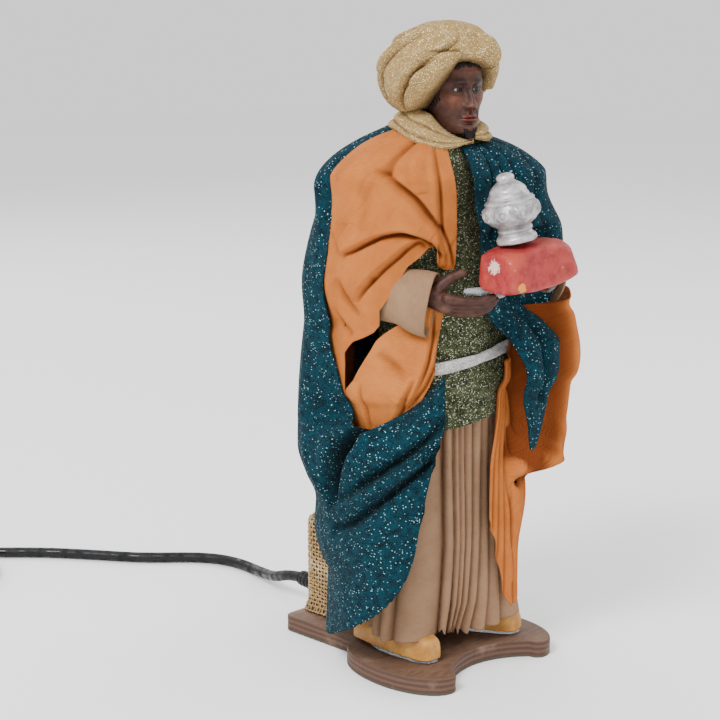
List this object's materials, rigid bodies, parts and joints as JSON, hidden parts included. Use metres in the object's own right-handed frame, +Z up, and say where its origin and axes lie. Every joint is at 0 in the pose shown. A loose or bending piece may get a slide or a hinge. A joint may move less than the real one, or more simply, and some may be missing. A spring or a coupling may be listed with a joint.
{
  "type": "nativity wise man figurine",
  "caption": "Standing robed wise man with turban, cloth garments and a jar on a pillow, on a plywood base with a burlap-covered motor box and mains flex.",
  "frame": {"origin": "centre of the base board's underside, on the surface that the figure stands on", "axes": "+Z up, the figure faces -Y, its right hand is towards -X"},
  "size_m": [0.2509, 0.4212, 0.3407],
  "materials": {
    "plywood": "brown stained top and edge, scuffed",
    "burlap": "open coarse jute weave",
    "ochre_clay": "painted clay, matt",
    "clear_glue": "clear hot-melt glue, cloudy",
    "beige_cotton": "plain cotton cloth",
    "green_knit": "fine knit with metal thread",
    "silver_knit": "silver glitter knit",
    "orange_linen": "plain woven cloth",
    "teal_knit": "fine knit with metal thread",
    "gold_cloth": "beige cloth with gold thread",
    "brown_clay": "painted clay, satin",
    "red_clay": "painted clay, satin, scuffed",
    "pearl_paint": "pearl silver paint",
    "black_rubber": "round PVC sheath, semi-gloss",
    "black_plastic": "moulded plug",
    "nickel": "nickel plate"
  },
  "bodies": {
    "root": {"base_board": "plywood", "motor_box": "burlap", "right_shoe": "ochre_clay", "right_glue_bead": "clear_glue", "left_shoe": "ochre_clay", "left_glue_bead": "clear_glue", "under_robe": "beige_cotton", "tunic": "green_knit", "belt": "silver_knit", "orange_mantle": "orange_linen", "orange_sash": "orange_linen", "teal_cloak": "teal_knit", "right_sleeve": "beige_cotton", "left_sleeve": "beige_cotton", "right_hand": "brown_clay", "left_hand": "brown_clay", "hand_glue_bead": "clear_glue", "head": "brown_clay", "turban": "gold_cloth", "neck_scarf": "gold_cloth", "pillow": "red_clay", "jar": "pearl_paint", "cord_gland": "black_rubber", "cord_tube": "black_rubber", "cord_coil": "black_rubber", "plug_body": "black_plastic", "plug_pin_left": "nickel", "plug_pin_right": "nickel"}
  },
  "joints": []
}
